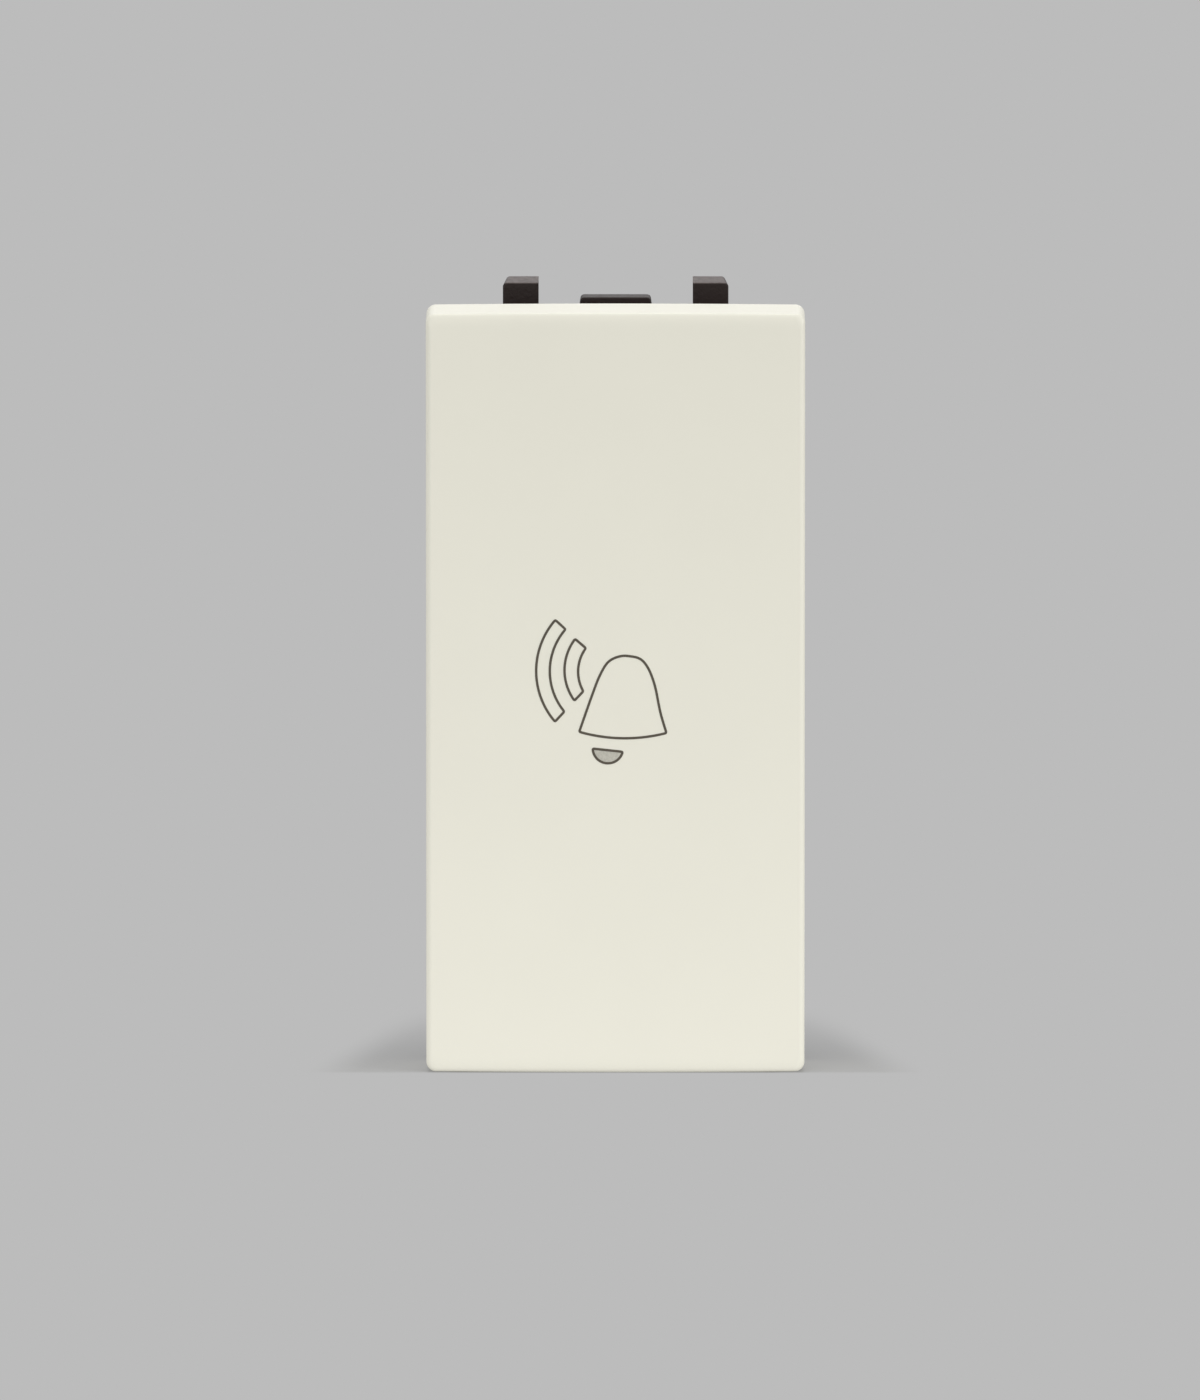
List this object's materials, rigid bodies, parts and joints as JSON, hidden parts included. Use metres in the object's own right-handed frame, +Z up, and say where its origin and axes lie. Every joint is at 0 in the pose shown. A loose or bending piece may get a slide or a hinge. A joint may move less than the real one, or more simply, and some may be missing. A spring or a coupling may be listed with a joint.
{
  "type": "bell push",
  "caption": "Modular momentary bell push: tall cream rocker key with a bell pictogram on a dark snap-in body with screw terminals at its rear.",
  "frame": {"origin": "middle of the flange's rear face, the seat that rests on the mounting grid", "axes": "+X to the right across the front, +Y back into the wall, +Z up the tall key"},
  "size_m": [0.0222, 0.0313, 0.0454],
  "materials": {
    "cap": "satin moulded cream plastic",
    "frame": "dark brown-black moulded plastic, satin",
    "carrier": "dark moulded plastic",
    "base": "dark brown-black moulded plastic",
    "cover": "grey insulating plastic",
    "plunger": "natural acetal, smooth",
    "spring": "stainless spring wire",
    "contact_brass": "rolled brass strip",
    "contact_silver": "silver contact rivet",
    "cage": "zinc-plated steel",
    "screw": "zinc-plated steel screw"
  },
  "bodies": {
    "housing": {"front_frame": "frame", "rear_base": "base", "chamber_cover": "cover", "strip_left": "contact_brass", "strip_right": "contact_brass", "fixed_tip_left": "contact_silver", "fixed_tip_right": "contact_silver", "return_spring": "spring"},
    "rocker": {"rocker_cap": "cap", "rocker_carrier": "carrier"},
    "pusher": {"plunger": "plunger", "contact_spring": "spring"},
    "bridge": {"contact_bridge": "contact_brass", "bridge_tip_left": "contact_silver", "bridge_tip_right": "contact_silver"},
    "cage_left": {"cage_left": "cage"},
    "cage_right": {"cage_right": "cage"},
    "screw_left": {"screw_left": "screw"},
    "screw_right": {"screw_right": "screw"}
  },
  "joints": [
    {"name": "rocker_press", "type": "hinge", "parent": "housing", "child": "rocker", "pos_m": [0, -0.0033, 0], "axis": [1, 0, 0], "range_deg": [0, 4.5], "stiffness_Nm_per_rad": 0.27, "springref_deg": -2.86},
    {"name": "pusher_slide", "type": "slide", "parent": "housing", "child": "pusher", "axis": [0, 1, 0], "range_m": [0, 0.00106], "deforming": ["return_spring"]},
    {"name": "bridge_slide", "type": "slide", "parent": "housing", "child": "bridge", "axis": [0, 1, 0], "range_m": [0, 0.00085743], "deforming": ["contact_spring"]},
    {"name": "cage_left_rise", "type": "slide", "parent": "housing", "child": "cage_left", "axis": [0, 1, 0], "range_m": [0, 0.0025]},
    {"name": "screw_left_turn", "type": "hinge", "parent": "housing", "child": "screw_left", "pos_m": [-0.0047, 0.0184, 0.0124], "axis": [0, -1, 0], "range_deg": [0, 1801]},
    {"name": "cage_right_rise", "type": "slide", "parent": "housing", "child": "cage_right", "axis": [0, 1, 0], "range_m": [0, 0.0025]},
    {"name": "screw_right_turn", "type": "hinge", "parent": "housing", "child": "screw_right", "pos_m": [0.0047, 0.0184, 0.0124], "axis": [0, -1, 0], "range_deg": [0, 1801]}
  ],
  "couplings": [
    {"joint": "pusher_slide", "follows": "rocker_press", "m_per_rad": 0.0134},
    {"joint": "bridge_slide", "follows": "rocker_press", "m_per_rad": 0.010854},
    {"joint": "screw_left_turn", "follows": "cage_left_rise", "rad_per_m": 12566},
    {"joint": "screw_right_turn", "follows": "cage_right_rise", "rad_per_m": 12566}
  ]
}
